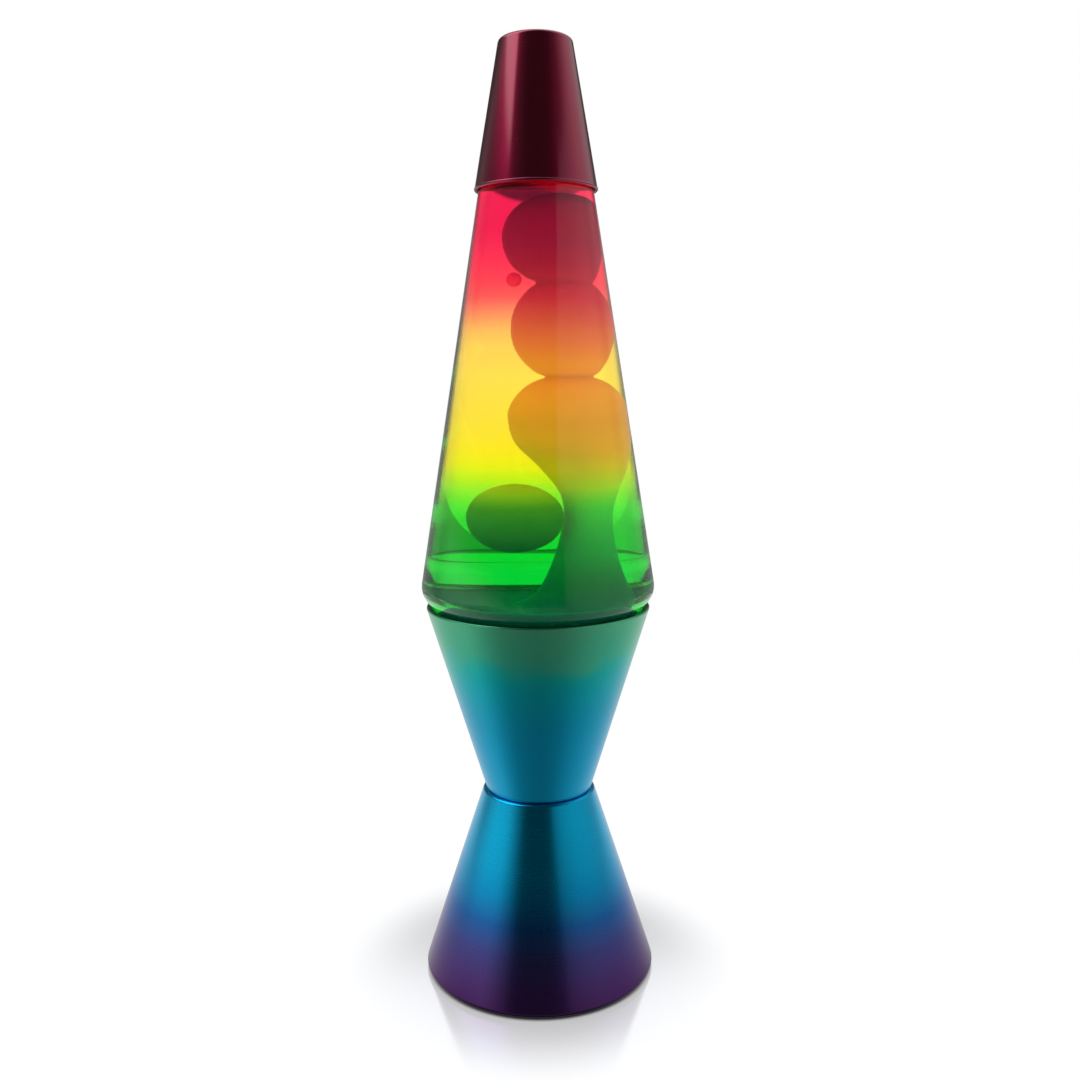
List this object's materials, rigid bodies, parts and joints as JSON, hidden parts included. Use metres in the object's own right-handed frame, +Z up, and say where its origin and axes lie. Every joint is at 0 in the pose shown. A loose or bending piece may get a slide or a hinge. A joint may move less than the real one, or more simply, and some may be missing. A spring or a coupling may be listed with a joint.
{
  "type": "motion lamp",
  "caption": "Liquid motion lamp: tapered wax-filled glass globe seated in an hourglass spun-metal base over a screw bulb, with a tapered metal cap.",
  "frame": {"origin": "centre of the lamp's footprint, on the surface that it stands on", "axes": "+Z up the lamp's axis to the cap, -Y the front that the picture shows, +Y the back with the lead's inlet"},
  "size_m": [0.094, 0.094, 0.368],
  "materials": {
    "stand_metal": "satin",
    "cup_metal": "satin",
    "cap_metal": "gloss",
    "steel": "satin",
    "plate_paint": "matte",
    "foot_rubber": "matte",
    "grommet_rubber": "satin",
    "liner_rubber": "matte",
    "holder_moulding": "satin",
    "brass": "satin",
    "bulb_glass": "gloss",
    "dark_glass": "gloss",
    "solder": "satin",
    "filament": "satin",
    "globe_glass": "gloss",
    "clear_liquid": "gloss",
    "wax": "satin",
    "crown_metal": "satin"
  },
  "bodies": {
    "base": {"stand_cone": "stand_metal", "cup_cone": "cup_metal", "waist_lock_ring": "steel", "bottom_plate": "plate_paint", "plate_tabs": "steel", "plate_screws": "steel", "foot_1": "foot_rubber", "foot_2": "foot_rubber", "foot_3": "foot_rubber", "foot_4": "foot_rubber", "inlet_grommet": "grommet_rubber", "lamp_pipe": "steel", "pipe_nut_lower": "steel", "pipe_nut_upper": "steel", "pipe_washer": "steel", "lampholder_body": "holder_moulding", "lampholder_shell": "brass", "centre_contact": "brass", "terminal_screws": "brass"},
    "bulb": {"bulb_envelope": "bulb_glass", "bulb_screw_cap": "brass", "bulb_insulator": "dark_glass", "bulb_tip": "solder", "bulb_stem": "bulb_glass", "bulb_leads": "steel", "bulb_filament": "filament"},
    "globe": {"globe_bottle": "globe_glass", "liquid": "clear_liquid", "wax_column": "wax", "wax_blob_middle": "wax", "wax_blob_top": "wax", "wax_blob_left": "wax", "wax_bead": "wax", "coil_ring": "steel", "crown_liner": "liner_rubber", "crown_cap": "crown_metal"},
    "cap": {"cap_shell": "cap_metal"}
  },
  "joints": [
    {"name": "bulb_turn", "type": "hinge", "parent": "base", "child": "bulb", "pos_m": [0, 0, 0.055], "axis": [0, 0, 1], "range_deg": [0, 1080]},
    {"name": "globe_lift", "type": "slide", "parent": "base", "child": "globe", "axis": [0, 0, 1], "range_m": [0, 0.06]},
    {"name": "cap_lift", "type": "slide", "parent": "globe", "child": "cap", "axis": [0, 0, 1], "range_m": [0, 0.06]}
  ]
}
